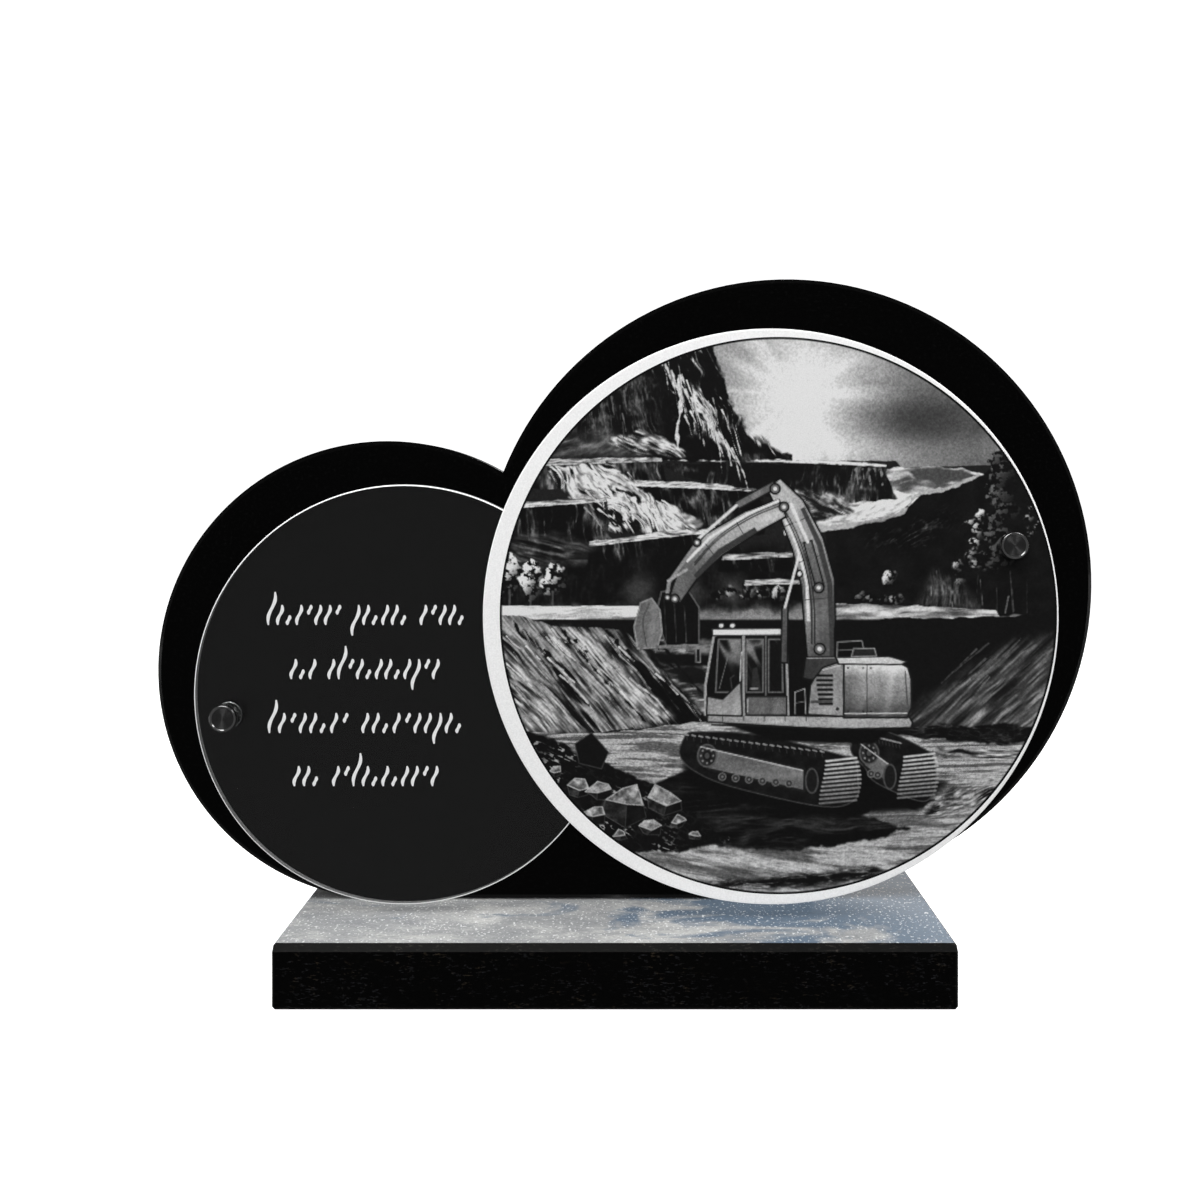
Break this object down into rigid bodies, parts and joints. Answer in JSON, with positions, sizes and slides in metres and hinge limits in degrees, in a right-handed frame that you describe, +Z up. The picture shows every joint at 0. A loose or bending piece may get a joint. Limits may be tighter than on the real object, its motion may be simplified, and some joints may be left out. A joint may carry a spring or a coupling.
{
  "type": "funeral plaque",
  "caption": "Standing memorial plaque: black stone base and twin-lobed back plate, with overlapping clear glass discs held in front by metal standoffs.",
  "frame": {"origin": "centre of the base block's underside", "axes": "+X to the viewer's right along the plaque, +Y from its front to its back, +Z up"},
  "size_m": [0.4529, 0.15, 0.3289],
  "materials": {
    "granite": "polished",
    "black_plate": "polished",
    "glass": "polished",
    "metal": "turned"
  },
  "bodies": {
    "root": {"base_block": "granite", "back_plate": "black_plate", "small_glass_disc": "glass", "large_glass_disc": "glass", "left_standoff_barrel": "metal", "left_standoff_cap": "metal", "right_standoff_barrel": "metal", "right_standoff_cap": "metal"}
  },
  "joints": []
}
